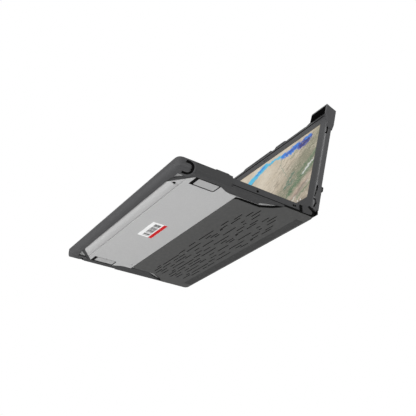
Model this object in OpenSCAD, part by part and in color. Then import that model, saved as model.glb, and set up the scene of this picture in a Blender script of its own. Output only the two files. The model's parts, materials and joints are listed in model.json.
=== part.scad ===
// Field notebook data collector in a push-fit protective case.
// Millimetres. The origin is the centre of the case's underside, +X is the user's right,
// -Y points to the user and +Z is up. The lid is drawn open, at lid_open degrees from closed.

/* [Case] */
// Width over the side walls
case_w = 330; // [328:1:336]
// Depth from the front bumper to the rear edge
case_d = 234; // [234:1:238]
// Height of the side walls and of the front bumper
wall_h = 15; // [14.6:0.1:15.2]
// Thickness of the case's floor
floor_t = 3; // [2.8:0.1:3]
// Plan radius of the front corners
corner_r = 13; // [5:0.5:13]
// Distance from the front edge to the seam between bottom panel and vent plate
panel_seam = 109; // [106:1:112]

/* [Vents] */
// Width of one dash slot
slot_w = 1.7; // [1:0.1:1.8]
// Spacing between rows of slots
slot_pitch = 2.06; // [2:0.01:2.1]

/* [Display] */
// Active width of the display
screen_w = 293.8; // [290:0.1:295]
// Active height of the display
screen_h = 165.2; // [163:0.1:166]
// Distance along the lid from the hinge axis to the bottom of the active area
screen_s = 36.5; // [35:0.5:38]

/* [Lid] */
// Opening angle at which the lid is drawn
lid_open = 107.2; // [0:0.1:135]
// Height of the hinge axis above the underside
hinge_z = 12.46; // [12.2:0.02:12.7]
// Distance from the hinge axis forward of the rear edge
hinge_inset = 6.8; // [6.6:0.1:7]
// Length of the lid from the hinge axis to its top edge
lid_len = 223.5; // [222:0.5:224]
// Back of the lid shell behind the hinge axis
lid_back = 14.2; // [14:0.1:14.6]

/* [Keyboard] */
// Key pitch
key_pitch = 19.05; // [18.5:0.05:19.05]
// Gap between keycaps
key_gap = 3.2; // [3:0.1:4]
// Key travel
key_travel = 1.2; // [0.8:0.1:1.2]

/* [Hidden] */
$fn = 48;
eps = 0.05;
hw = case_w / 2;
front_y = -case_d / 2;
rear_y = case_d / 2;
bump_r = wall_h / 2;
rail_in = front_y + 11.8;
seam_y = front_y + panel_seam;
corner_len = 30;
corner_x = hw - corner_len;
corner_y = front_y + corner_len;
strut_x = [132.2, 148.6];
edge_r = 6;
panel_z = 0.8;
hinge_y = rear_y - hinge_inset;

// Notebook body inside the case
body_hw = hw - 3.5;
body_y0 = rail_in + 0.2;
body_y1 = rear_y - 2.5;
body_rf = 20;
body_rr = 8;
cover_z0 = floor_t + 0.2;
cover_z1 = cover_z0 + 1.2;
deck_z0 = cover_z1 + 0.1;
deck_z1 = wall_h + 0.2;
deck_t = 1.4;
key_z1 = deck_z1 + 0.9;
membrane_z1 = 12.2;
key_z0 = membrane_z1 + key_travel + 0.1;
kb_y0 = -12;
kb_rows = 5;
fn_h = 11;
kb_w = 15 * key_pitch;
kb_y1 = kb_y0 + kb_rows * key_pitch + fn_h;
pad_w = 105;
pad_d = 66;
pad_y1 = -24;
pad_z0 = deck_z1 - 1.7;
screw_spots = [[152, -78], [152, 5], [153, 106], [50, 106], [50, -99]];
button_spot = [151, 97];
button_size = [12, 6.4];

// Side interfaces
audio_y = 16;
audio_z = 9.3;
audio_r = 1.75;
audio_len = 11;
lock_y = 83;
lock_z = 9.8;

// Underside features
window_x = [136.6, 152.6];
window_y = [-78.5, -40.2];
opening_x = [136.7, 152.2];
opening_y = [-73.4, -40.4];
strip_in = 145.6;
strip_wide = 153.6;
strip_out = hw - 2;
plate_hw = 141.5;
wall_y1 = -28.5;
lip_y = [-56, -34];
slot_y0 = seam_y + 31.1;
slot_rows = 34;
finger_at = [hw - edge_r, corner_y - 9, edge_r];
socket_r = edge_r + 3;
chamfer = 3.6;
guard_r = 12.7;
cap_r = 3.8;
cap_x = body_hw + 0.4;
grip_y = [99.4, 113.6];
grip_x = 146;
label_x = -4;
label_y = -49.6;
label_w = 47.6;
label_d = 24.4;

// Hinge
shaft_r = 2;
barrel_r = 3.4;
run_gap = 0.05;
notch_x = [106, 142];
notch_y0 = 98.8;
cover_r = [4.2, 5.7];

// Lid, in its own frame: x as the row, y along the lid from the hinge axis, z out of the display
screen_z = -5.14;
shell_s0 = 6;
band_s1 = 54;
cover_s0 = 7;
cover_s1 = lid_len - 3;
cover_hw = hw - 3.3;
cover_back = -(lid_back - 1.4);
lip_z = -4;
bezel_z = -4.5;
hood_out = 3;
hood_s1 = lid_len + 6.5;
hood_s0 = 191.5;
hood_taper = 9.5;
hood_front = 4.6;
hood_back = -(lid_back + 1.6);
hood_x = [117, 131];
hood_wall = 3;

// ---- helpers ----
// Rounded plan outline, symmetric about x = 0, with its own front and rear corner radii.
module plan(half_w, y0, y1, rf, rr) {
    translate([-half_w, y0 + rf]) square([2 * half_w, y1 - y0 - rf - rr]);
    translate([-half_w + rf, y0]) square([2 * (half_w - rf), rf + 1]);
    translate([-half_w + rr, y1 - rr - 1]) square([2 * (half_w - rr), rr + 1]);
    for (s = [-1, 1]) {
        translate([s * (half_w - rf), y0 + rf]) circle(r = rf);
        translate([s * (half_w - rr), y1 - rr]) circle(r = rr);
    }
}

// Rounded rectangle centred on the origin.
module rounded(w, d, r) {
    square([w - 2 * r, d], center = true);
    square([w, d - 2 * r], center = true);
    for (x = [-1, 1], y = [-1, 1]) translate([x * (w / 2 - r), y * (d / 2 - r)]) circle(r = r, $fn = 24);
}

module slab(z0, z1) { translate([0, 0, z0]) linear_extrude(z1 - z0) children(); }

module block(x, y, z) { translate([x[0], y[0], z[0]]) cube([x[1] - x[0], y[1] - y[0], z[1] - z[0]]); }

// Sweeps an outline drawn as [Y, Z] along X.
module along_x(x0, x1) { translate([x0, 0, 0]) rotate([90, 0, 90]) linear_extrude(x1 - x0) children(); }

// Sweeps an outline drawn as [X, Z] along Y.
module along_y(y0, y1) { translate([0, y1, 0]) rotate([90, 0, 0]) linear_extrude(y1 - y0) children(); }

// A cylinder along X between x0 and x1.
module rod_x(x0, x1, r) { translate([x0, 0, 0]) rotate([0, 90, 0]) cylinder(r = r, h = x1 - x0); }

module both_sides() { for (m = [0, 1]) mirror([m, 0, 0]) children(); }

module at_hinge() { translate([0, hinge_y, hinge_z]) children(); }

module on_lid() { at_hinge() rotate([180 - lid_open, 0, 0]) children(); }

// Pocket that the notebook's base sits in.
module notebook_pocket() {
    slab(floor_t, wall_h + 10)
        plan(body_hw + 0.25, body_y0 - 0.15, body_y1 + 0.2, body_rf, body_rr);
}

// Triangular opening between the corner strut and the front bumper.
module corner_opening() {
    y0 = rail_in + 1.8;
    slab(-1, floor_t + 1) polygon([[strut_x[0], y0], [strut_x[1], y0], [strut_x[1], y0 + 13.4]]);
}

// ---- protective case, base ----
// Half-round bumper section as [distance from the front, height].
module bumper_section(depth) {
    translate([bump_r, bump_r]) circle(r = bump_r);
    translate([bump_r, 0]) square([depth - bump_r, wall_h]);
}

// Profile of the corner as [X, Z], with its lower outside edge rounded.
module corner_profile(inset) {
    translate([corner_x, inset]) square([hw - edge_r - corner_x, wall_h - inset]);
    translate([corner_x, edge_r]) square([hw - inset - corner_x, wall_h - edge_r]);
    translate([hw - edge_r, edge_r]) circle(r = edge_r - inset);
}

// Square-cut corner with a rounded lower edge and a rounded plan.
module bumper_corner() intersection() {
    along_x(corner_x, hw) translate([front_y, 0]) bumper_section(corner_y - front_y);
    along_y(front_y, corner_y) corner_profile(0);
    slab(0, wall_h) {
        translate([corner_x, front_y]) square([hw - corner_r - corner_x, corner_y - front_y]);
        translate([corner_x, front_y + corner_r]) square([hw - corner_x, corner_y - front_y - corner_r]);
        translate([hw - corner_r, front_y + corner_r]) circle(r = corner_r);
    }
}

// A bar of radius r along the side, from its round rear end forwards.
module finger(r, reach) translate(finger_at) {
    sphere(r = r);
    rotate([90, 0, 0]) cylinder(r = r, h = reach);
}

module front_bumper() color([0.3, 0.3, 0.31]) difference() {
    union() {
        along_x(-corner_x, corner_x) translate([front_y, 0]) bumper_section(11.8);
        both_sides() difference() {
            bumper_corner();
            finger(socket_r, 5);
        }
        both_sides() finger(edge_r, 9);
    }
    notebook_pocket();
    both_sides() corner_opening();
    // Room for the lid's corner hoods when the lid is closed
    both_sides() block([hood_x[0] - 2, hw + 1], [front_y - 1, front_y + 0.6], [7.6, wall_h + 1]);
    // Floor of the bumper stops at the panel and at the strut
    slab(-1, floor_t + eps) polygon([[-corner_x, rail_in], [corner_x, rail_in],
        [strut_x[1], -90], [strut_x[1], -60], [-strut_x[1], -60], [-strut_x[1], -90]]);
}

// Right half of the frame's floor strip with the corner strut.
module strip_outline() {
    polygon([[120.5, rail_in], [130, rail_in], [strut_x[0], rail_in + 1.8], [strut_x[1], corner_y - 1.8],
        [strut_x[1], corner_y], [strip_out, corner_y], [strip_out, 62], [160.8, 57], [156.4, 45],
        [149, 29.6], [strip_in, 28.4], [strip_in, -20], [147, -27], [strip_wide, -41],
        [strip_wide, window_y[0] + 0.2]]);
}

module side_wall() {
    inner = body_hw + 0.25;
    block([inner, hw], [corner_y, wall_y1], [0, wall_h]);
    // Raised middle of the wall
    along_x(inner, hw) polygon([[lip_y[0], wall_h - 1], [lip_y[1], wall_h - 1], [lip_y[1], wall_h + 0.6],
        [lip_y[1] - 2, wall_h + 1.2], [lip_y[0] + 2, wall_h + 1.2], [lip_y[0], wall_h + 0.6]]);
}

module case_frame() color([0.22, 0.22, 0.23]) both_sides() difference() {
    union() {
        slab(0, floor_t) strip_outline();
        side_wall();
    }
    // The strip's underside rises towards the middle
    along_y(corner_y - 30, rear_y)
        polygon([[100, -1], [hw - 3, -1], [hw - 3, 0], [strip_in + 4, 1.5], [100, 1.5]]);
    // Chamfer along the wall's lower edge
    along_y(corner_y - 1, wall_y1 - 0.01)
        polygon([[hw + 1, -1], [hw + 1, chamfer + 1], [hw - chamfer - 1, -1]]);
}

// Section of the bottom panel as [Y, Z]: flat, then a narrow groove, then the rounded band at the front.
module panel_section() {
    polygon([[seam_y - 0.3, panel_z], [-86.8, panel_z], [-86.9, 1.5], [-87.7, 1.5], [-87.9, 0.6],
        [-89.6, 0.25], [-92, 0.05], [-94.5, 0], [-97, 0.2], [-99.5, 0.7], [-102.5, 1.5], [rail_in + 0.1, 2.4],
        [rail_in + 0.1, floor_t], [seam_y - 0.3, floor_t]]);
}

// Right half of the panel's outline, just inside the frame's strip.
module panel_outline() {
    gap = 0.15;
    polygon([[0, rail_in], [120.2, rail_in], [strip_wide - gap, window_y[0] + 0.4],
        [strip_wide - gap, -41], [147 - gap, -27], [strip_in - gap, -20], [strip_in - gap, 29],
        [plate_hw + 1, 29], [plate_hw + 1, seam_y], [0, seam_y]]);
}

module window_outline(grow) {
    w = strip_wide - window_x[0] + 5;
    d = window_y[1] - window_y[0];
    translate([window_x[0] - grow, window_y[0] - 0.2]) square([w, d - 3]);
    translate([window_x[0] + 3, window_y[0]]) square([w, d + grow]);
    translate([window_x[0] + 3, window_y[1] - 3]) circle(r = 3 + grow, $fn = 32);
}

module bottom_panel() color([0.72, 0.72, 0.72]) difference() {
    intersection() {
        along_x(-hw, hw) panel_section();
        both_sides() slab(-1, floor_t) panel_outline();
    }
    both_sides() slab(-1, floor_t + 1) window_outline(0.9);
    // Ridge band stops short of the struts
    both_sides() along_x(126, hw) polygon([[-110, -1], [-85.9, -1], [-85.9, panel_z], [-110, panel_z]]);
    // Plugged eye in the ridge and inspection dimple near the seam
    slab(-1, floor_t + 1) eye_outline(0);
    translate([-129.5, -13, -1]) cylinder(r = 2.6, h = 2.6, $fn = 24);
}

module eye_outline(inset) translate([126.5, -94.4]) rotate(25) {
    translate([0, -1]) circle(r = 2 - inset, $fn = 24);
    translate([0, 1]) circle(r = 2 - inset, $fn = 24);
    square([4 - 2 * inset, 2], center = true);
}

// A line of width w through the points, with square ends.
module stroke(points, w) {
    for (i = [1 : len(points) - 1]) {
        run = points[i] - points[i - 1];
        translate(points[i - 1]) rotate(atan2(run[1], run[0]))
            translate([-0.45 * w, -w / 2]) square([norm(run) + 0.9 * w, w]);
    }
}

// Frames of the two windows, the seal along the vent plate's edge and the plug in the eye.
module panel_seals() color([0.05, 0.05, 0.05]) {
    both_sides() slab(panel_z + 0.1, floor_t) difference() {
        intersection() {
            window_outline(0.8);
            polygon([[window_x[0] - 2, -80], [window_x[1], -80], [strip_wide - 0.1, window_y[0] + 0.6],
                [strip_wide - 0.1, -41.2], [152.6, -39], [window_x[0] - 2, -39]]);
        }
        translate([opening_x[0], opening_y[0]])
            square([opening_x[1] - opening_x[0], opening_y[1] - opening_y[0] - 2]);
        translate([opening_x[0] + 2, opening_y[0]])
            square([opening_x[1] - opening_x[0] - 2, opening_y[1] - opening_y[0]]);
        translate([opening_x[0] + 2, opening_y[1] - 2]) circle(r = 2, $fn = 24);
    }
    both_sides() slab(0.4, floor_t) {
        translate([plate_hw + 0.1, seam_y + 8]) square([0.8, 35]);
        stroke([[plate_hw + 0.9, 35.1], [151.3, 50.7], [158.7, 58]], 1.2);
    }
    slab(1.4, floor_t) eye_outline(0.05);
}

// Outline of the vent plate: straight beside the frame, then flaring to full width.
module plate_outline() {
    difference() {
        plan(hw - 1.5, seam_y, rear_y, 8, 6);
        both_sides() polygon([[plate_hw, seam_y + 7.5], [plate_hw, 35], [150.6, 51.2], [158.7, 59.3],
            [hw, 63.5], [hw, seam_y - 1], [plate_hw - 7.5, seam_y - 1], [plate_hw - 7.5, seam_y + 7.5]]);
    }
    both_sides() translate([plate_hw - 7.5, seam_y + 7.5]) circle(r = 7.5);
}

// One tile of the dash pattern: the start and end of each dash, row by row from the front.
dashes = [
    [[-17, 1], [11, 49], [68, 86]],
    [[-115, -104], [-48, -30]],
    [[-100, -52], [94, 112]],
    [[-130, -108], [20, 35], [57, 75]],
    [[-35, 4], [54, 61], [81, 103]],
    [[-110, -86], [-76, -64], [-61, -43], [27, 46]],
    [[-136, -116], [111, 127]],
    [[31, 44]],
    [[-127, -108], [-80, -49], [-25, -12]],
    [[-100, -87], [-5, 23], [91, 100], [115, 136]],
    [[-58, -40], [45, 76]],
    [[-133, -113]],
    [[-103, -68], [-33, -17], [89, 96], [108, 127]],
    []];

module vent_slots() {
    for (row = [0 : slot_rows - 1], dash = dashes[row % len(dashes)])
        translate([dash[0], slot_y0 + row * slot_pitch, -1]) cube([dash[1] - dash[0], slot_w, floor_t + 2]);
}

module rear_vent_plate() color([0.31, 0.31, 0.31]) difference() {
    slab(0, floor_t) plate_outline();
    // Front part rises gently to the panel
    along_x(-hw, hw) polygon([[seam_y - 1, -1], [seam_y + 6, -1], [seam_y + 6, 0], [seam_y - 1, 0.55]]);
    vent_slots();
    block([-grip_x, grip_x], grip_y, [-1, 0.9]);
}

module grip_strips() color([0.27, 0.27, 0.27]) {
    ribs = 5;
    pitch = (grip_y[1] - grip_y[0] - 0.2) / ribs;
    block([-grip_x + 0.1, grip_x - 0.1], [grip_y[0] + 0.1, grip_y[1] - 0.1], [0.55, 0.9]);
    for (i = [0 : ribs - 1])
        block([-grip_x + 0.1, grip_x - 0.1],
            [grip_y[0] + 0.4 + i * pitch, grip_y[0] - 0.2 + (i + 1) * pitch], [0.1, 0.6]);
}

module asset_label() color("white")
    translate([label_x, label_y, panel_z - 0.2]) linear_extrude(0.2) rounded(label_w, label_d, 1);

module label_stripe() color([0.75, 0, 0])
    translate([label_x, label_y + label_d / 2 - 3.2, panel_z - 0.28])
        linear_extrude(0.08) rounded(label_w - 0.4, 5.8, 0.6);

// A repeatable number between 0 and 1.
function hash(i) = let (v = sin(381 + i * 311.7) * 438.5453) v - floor(v);

module label_bars() color([0.1, 0.1, 0.1]) for (i = [0 : 13]) {
    bar = 0.7 + 1.7 * hash(i);
    translate([label_x - 19.8 + i * 2.9, label_y - 6.2, panel_z - 0.28]) cube([bar, 10.4, 0.08]);
}

// Outline of the rounded case end beside the hinge, as [Y, Z].
module clip_outline() {
    polygon([[95.4, 1.5], [106, 1.5], [109.2, 2.3], [109.2, 9.9], [107.5, 11.8], [101.6, 15],
        [96.6, 15], [95.4, 13.8]]);
    translate([109.2, 6]) circle(r = 4);
    translate([95.4, 3.2]) square([13.8, 5]);
}

module rear_corner_clips() color([0.25, 0.25, 0.26]) both_sides() difference() {
    along_x(body_hw + 0.25, hw) clip_outline();
    block([body_hw, hw - 1.4], [90, 120], [-1, floor_t + eps]);
}

// Black seals along the notebook's sides, in front of and under the case ends, and in the corner sockets.
module side_seals() color([0.02, 0.02, 0.02]) both_sides() {
    block([body_hw + 0.03, body_hw + 0.9], [wall_y1 + 0.1, 95.2], [floor_t + eps, 4.7]);
    block([body_hw + 0.3, hw - 1.6], [92.4, 95.2], [floor_t + eps, 13.6]);
    block([hw - 1.35, hw - 0.8], [95.5, 110], [0.3, 1.4]);
    difference() {
        intersection() {
            finger(socket_r - 0.05, 4.9);
            union() {
                block([130, hw - 1.8], [-120, -80], [2, floor_t - 0.05]);
                along_y(front_y, corner_y) intersection() {
                    translate([body_hw + 0.35, 2]) square([4, wall_h - 2]);
                    corner_profile(0.9);
                }
            }
        }
        finger(edge_r + 0.05, 9);
    }
}

// Black guard behind the notebook with end caps round the hinge axis.
module rear_hinge_guard() color([0.04, 0.04, 0.04]) difference() {
    union() {
        along_x(-cap_x, cap_x) intersection() {
            translate([hinge_y, hinge_z]) circle(r = guard_r, $fn = 96);
            polygon([[114.8, floor_t + eps], [124, floor_t + eps], [124, 6.6], [117.2, 13.2], [114.8, 13.2]]);
        }
        both_sides() at_hinge() rod_x(cap_x - 0.3, hw - 0.3, cap_r);
    }
    both_sides() along_x(body_hw, hw + 1) clip_outline();
    both_sides() block([notch_x[0] - 1, notch_x[1] + 1], [rear_y - 5, rear_y + 9], [floor_t + 1.5, wall_h]);
}

// ---- notebook base ----
module body_plan(grow) { plan(body_hw + grow, body_y0 - grow, body_y1 + grow, body_rf, body_rr); }

module screw_posts(r, z0, z1) {
    both_sides() for (p = screw_spots) translate([p[0], p[1], z0]) cylinder(r = r, h = z1 - z0, $fn = 24);
}

module notebook_bottom_cover() color([0.78, 0.78, 0.79]) difference() {
    union() {
        slab(cover_z0, cover_z1) body_plan(0);
        // Raised pads that look out of the case's two windows
        both_sides() translate([(opening_x[0] + opening_x[1]) / 2, (opening_y[0] + opening_y[1]) / 2, 1.4])
            linear_extrude(cover_z0 - 1.3)
                rounded(opening_x[1] - opening_x[0] - 0.4, opening_y[1] - opening_y[0] - 0.4, 2);
    }
    screw_posts(2.3, cover_z0 - 1, cover_z0 + 0.7);
    screw_posts(1.1, cover_z0, cover_z1 + 1);
}

module cover_screws() color([0.5, 0.5, 0.5]) {
    screw_posts(2.2, cover_z0 + 0.05, cover_z0 + 0.65);
    screw_posts(0.95, cover_z0 + 0.6, cover_z0 + 6);
}

module keyboard_deck() color([0.26, 0.26, 0.27]) difference() {
    union() {
        difference() {
            slab(deck_z0, deck_z1) body_plan(0);
            slab(deck_z0 - 1, deck_z1 - deck_t) body_plan(-1.6);
        }
        screw_posts(2.6, deck_z0, deck_z1 - 0.5);
    }
    screw_posts(1, deck_z0 - 1, deck_z0 + 6);
    // Keyboard well, touchpad and power button
    translate([0, (kb_y0 + kb_y1) / 2, 8]) linear_extrude(10) rounded(kb_w + 1, kb_y1 - kb_y0 + 1, 2);
    translate([0, pad_y1 - pad_d / 2, 8]) linear_extrude(10) rounded(pad_w + 0.6, pad_d + 0.6, 2);
    translate([button_spot[0], button_spot[1], 8]) linear_extrude(10)
        rounded(button_size[0] + 0.3, button_size[1] + 0.3, 1.5);
    // Hinge notches in the rear edge
    both_sides() block(notch_x, [notch_y0, rear_y], [deck_z0 - 1, 20]);
    // Audio socket and lock slot on the right, data ports on the left
    translate([0, audio_y, audio_z]) rod_x(body_hw - 4, body_hw + 2, 2.3);
    block([body_hw - 4, body_hw + 2], [lock_y - 3.5, lock_y + 3.5], [lock_z - 1.5, lock_z + 1.5]);
    for (p = port_list) block([-body_hw - 2, -body_hw + 4], [p[0] - p[1] / 2 - 0.3, p[0] + p[1] / 2 + 0.3],
        [p[2] - p[3] / 2 - 0.3, p[2] + p[3] / 2 + 0.3]);
}

// Data ports on the left side: centre Y, width, centre Z, height.
port_list = [[40, 9, 9, 3.4], [22, 9, 9, 3.4], [-6, 13.4, 9, 5.6]];

module data_ports() color([0.7, 0.7, 0.72]) for (p = port_list) difference() {
    block([-body_hw + 0.4, -body_hw + 9], [p[0] - p[1] / 2, p[0] + p[1] / 2],
        [p[2] - p[3] / 2, p[2] + p[3] / 2]);
    block([-body_hw, -body_hw + 8.2], [p[0] - p[1] / 2 + 0.4, p[0] + p[1] / 2 - 0.4],
        [p[2] - p[3] / 2 + 0.4, p[2] + p[3] / 2 - 0.4]);
}

module audio_socket() color([0.1, 0.1, 0.1]) difference() {
    union() {
        block([body_hw - 1.8 - audio_len, body_hw - 1.8], [audio_y - 3.2, audio_y + 3.2],
            [audio_z - 3, audio_z + 3]);
        translate([0, audio_y, audio_z]) rod_x(body_hw - 2, body_hw - 0.2, 2.2);
    }
    translate([0, audio_y, audio_z]) rod_x(body_hw - 0.2 - audio_len, body_hw + 1, audio_r);
}

module lock_plate() color([0.6, 0.6, 0.62]) difference() {
    block([body_hw - 2.9, body_hw - 1.7], [lock_y - 9, lock_y + 9], [5.4, 13]);
    block([body_hw - 4, body_hw], [lock_y - 3.5, lock_y + 3.5], [lock_z - 1.5, lock_z + 1.5]);
}

module battery_pack() color([0.12, 0.12, 0.13]) {
    slab(cover_z1 + 0.3, cover_z1 + 5.3) translate([0, -62]) rounded(236, 62, 2);
    // Cell ridges and the connector tab
    for (i = [0 : 3]) translate([-87 + i * 58, -62, cover_z1 + 5.2]) linear_extrude(0.5) rounded(54, 58, 3);
    block([-12, 12], [-31.5, -28], [cover_z1 + 0.8, cover_z1 + 3.2]);
}

module mainboard() color([0.05, 0.25, 0.15]) {
    difference() {
        block([-120, 128], [-2, 78], [6.2, 7.4]);
        for (x = [-110, 118], y = [6, 70]) translate([x, y, 5]) cylinder(r = 1.6, h = 4, $fn = 24);
        block([-60, -20], [50, 79], [5, 9]);
    }
    block([-8, 28], [22, 58], [7.4, 8.6]);
    for (i = [0 : 3]) block([40 + i * 14, 51 + i * 14], [30, 42], [7.4, 8.5]);
    for (i = [0 : 2]) block([-104 + i * 16, -94 + i * 16], [12, 22], [7.4, 8.8]);
    for (i = [0 : 5]) block([-100 + i * 9, -95 + i * 9], [2, 5.4], [7.4, 8.9]);
}

module heat_spreader() color([0.72, 0.45, 0.25]) {
    block([-30, 36], [14, 66], [8.65, 9.25]);
    along_x(-112, 100) polygon([[60, 9.25], [66, 9.25], [66, 10.6], [60, 10.6]]);
}

module storage_module() color([0.08, 0.2, 0.35]) {
    block([46, 106], [50, 72], [8.9, 9.2]);
    block([50, 64], [53, 69], [7.5, 8.9]);
    block([82, 98], [53, 69], [7.5, 8.9]);
}

module wireless_card() color([0.1, 0.3, 0.2]) {
    block([-92, -62], [28, 50], [8.2, 9]);
    block([-88, -66], [32, 46], [9, 9.9]);
    block([-90, -64], [24.5, 28], [7.5, 9]);
}

module speakers() color([0.1, 0.1, 0.1]) both_sides() {
    slab(cover_z1 + 0.3, 11.6) translate([138, -44]) rounded(19, 56, 3);
    translate([138, -54, 11.5]) cylinder(r = 7.5, h = 0.8);
}

module keyboard_plate() color([0.55, 0.55, 0.57]) difference() {
    block([-kb_w / 2 + 0.4, kb_w / 2 - 0.4], [kb_y0 + 0.4, kb_y1 - 0.4], [11.3, 11.9]);
    for (x = [-120 : 40 : 120], y = [10, 50]) translate([x, y, 11]) cylinder(r = 1.5, h = 2, $fn = 24);
}

module keyboard_membrane() color([0.85, 0.85, 0.8])
    block([-kb_w / 2 + 0.6, kb_w / 2 - 0.6], [kb_y0 + 0.6, kb_y1 - 0.6], [11.9, 12.2]);

module touchpad_bracket() color([0.6, 0.6, 0.62]) {
    block([-44, 44], [pad_y1 - pad_d + 8, pad_y1 - pad_d + 18], [10.3, 10.9]);
    translate([0, pad_y1 - pad_d + 10, 10.9]) cylinder(r = 2.4, h = 1.1, $fn = 24);
    for (s = [-1, 1]) block([s * 40 - 4, s * 40 + 4], [pad_y1 - pad_d + 8, pad_y1 - 4], [10.3, 10.9]);
}

module touchpad() color([0.33, 0.33, 0.34]) {
    slab(pad_z0, deck_z1 - 0.2) translate([0, pad_y1 - pad_d / 2]) rounded(pad_w, pad_d, 1.8);
    // Round bead that the pad tips on
    translate([0, pad_y1 - 0.6, pad_z0]) rod_x(-40, 40, 0.6);
}

module power_button() color([0.4, 0.4, 0.41])
    slab(deck_z1 - 1.6, deck_z1 + 0.2) translate(button_spot) rounded(button_size[0], button_size[1], 1.3);

module display_cable() color([0.15, 0.15, 0.15]) {
    block([104, 112], [78.5, 98], [7, 7.6]);
    block([104, 112], [74, 80], [7.6, 8.6]);
    block([104, 112], [97.4, 98], [7, 9.2]);
}

// Sum of the first n widths of a row.
function before(list, n) = n == 0 ? 0 : list[n - 1] + before(list, n - 1);

// One row of keycaps, from a list of key widths in units of the pitch.
module key_row(widths, y, h) {
    for (i = [0 : len(widths) - 1]) {
        x = (before(widths, i) + widths[i] / 2 - 7.5) * key_pitch;
        translate([x, y + h / 2, key_z0]) linear_extrude(key_z1 - key_z0)
            rounded(widths[i] * key_pitch - key_gap, h - key_gap, 1.4);
    }
}
function units(n) = [for (i = [1 : n]) 1];
function row_y(n) = kb_y0 + n * key_pitch;
key_colour = [0.12, 0.12, 0.12];
module keys_function() color(key_colour) key_row([for (i = [1 : 16]) 15 / 16], row_y(5), fn_h);
module keys_number() color(key_colour) key_row(concat(units(13), [2]), row_y(4), key_pitch);
module keys_upper() color(key_colour) key_row(concat([1.5], units(12), [1.5]), row_y(3), key_pitch);
module keys_home() color(key_colour) key_row(concat([1.75], units(11), [2.25]), row_y(2), key_pitch);
module keys_lower() color(key_colour) key_row(concat([2.25], units(10), [2.75]), row_y(1), key_pitch);
module keys_space() color(key_colour) key_row([1.25, 1, 1, 1.25, 5.5, 1, 1, 1, 1, 1], row_y(0), key_pitch);

// ---- hinge ----
// Right bracket: a barrel on a foot that is screwed under the keyboard deck.
module hinge_bracket() color([0.62, 0.62, 0.64]) difference() {
    union() {
        at_hinge() rod_x(110, 126, barrel_r);
        block([110, 126], [hinge_y - 1.2, hinge_y + 1.2], [6.6, hinge_z - 1]);
        block([110, 126], [88, hinge_y + 1.2], [5.4, 6.7]);
    }
    at_hinge() rod_x(109, 127, shaft_r + run_gap);
    for (y = [91, 97]) translate([118, y, 4]) cylinder(r = 1.3, h = 4, $fn = 24);
}
module hinge_bracket_right() hinge_bracket();
module hinge_bracket_left() mirror([1, 0, 0]) hinge_bracket();

module hinge_screws() color([0.45, 0.45, 0.46]) both_sides() for (y = [91, 97]) {
    translate([118, y, 4.55]) cylinder(r = 2.2, h = 0.8, $fn = 24);
    translate([118, y, 5.3]) cylinder(r = 1.2, h = 4.4, $fn = 24);
}

module hinge_washers() color([0.75, 0.75, 0.76]) both_sides() at_hinge() for (i = [0, 1]) difference() {
    rod_x(126.2 + i * 0.9, 126.8 + i * 0.9, 3.2);
    rod_x(126, 129, shaft_r + run_gap);
}

// Right arm: the shaft and the leaf that is screwed to the display back cover.
module hinge_arm() color([0.66, 0.66, 0.68]) on_lid() {
    rod_x(109.5, 134, shaft_r);
    rod_x(128.4, 134, barrel_r - 0.2);
    block([128.4, 134], [0, 10.4], [-1.2, 1.2]);
    block([128.4, 134], [9, 10.4], [-10.6, 1.2]);
    block([122, 140], [9, 62], [-10.9, -9.6]);
}
module hinge_arm_right() hinge_arm();
module hinge_arm_left() mirror([1, 0, 0]) hinge_arm();

// Half-round cover that turns with the lid over the barrel.
module hinge_cover() color([0.13, 0.13, 0.13]) on_lid() difference() {
    union() {
        translate([notch_x[0] + 0.6, 0, 0]) rotate([90, 0, 90]) rotate([0, 0, -95])
            rotate_extrude(angle = 150) translate([cover_r[0], 0])
                square([cover_r[1] - cover_r[0], notch_x[1] - notch_x[0] - 1.2]);
        block([notch_x[0] + 0.6, notch_x[1] - 0.6], [3.2, 5.9], [-5.6, -4.4]);
    }
    // Window for the arm
    block([128, 134.4], [0, 12], [-1.6, 8]);
    block([128, 134.4], [6, 12], [-8, 8]);
}
module hinge_cover_right() hinge_cover();
module hinge_cover_left() mirror([1, 0, 0]) hinge_cover();

// ---- lid ----
module lid_plan(half_w, s0, s1, r) { plan(half_w, s0, s1, 3, r); }

// Slits in the lid's side as [distance up the lid, height out of the display].
module side_slits(grow) {
    stroke([[167.6, -6.5], [193.8, -6.5]], 3 + grow);
    stroke([[194.2, -6.3], [200.6, -3.6]], 2 + grow);
    stroke([[167.4, -6.6], [167.4, -1.2]], 2.6 + grow);
    stroke([[41.6, -6.5], [49.2, -6.5]], 3 + grow);
    stroke([[28, -5.2], [41, -5.8]], 1.6 + grow);
    stroke([[23.8, -1.4], [22.2, -6], [17.3, -8.6], [12.4, -7], [8.2, -6.2]], 2.6 + grow);
}

// Lower front corner of the side wall, beside the hinge axis, in the same plane.
module cheek_outline() {
    polygon([[shell_s0 + 1, lip_z], [4.6, lip_z], [3.2, -5.6], [2.6, -9], [2.9, -12.2], [6.1, -11.1],
        [shell_s0 + 1, -11.1]]);
}

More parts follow.
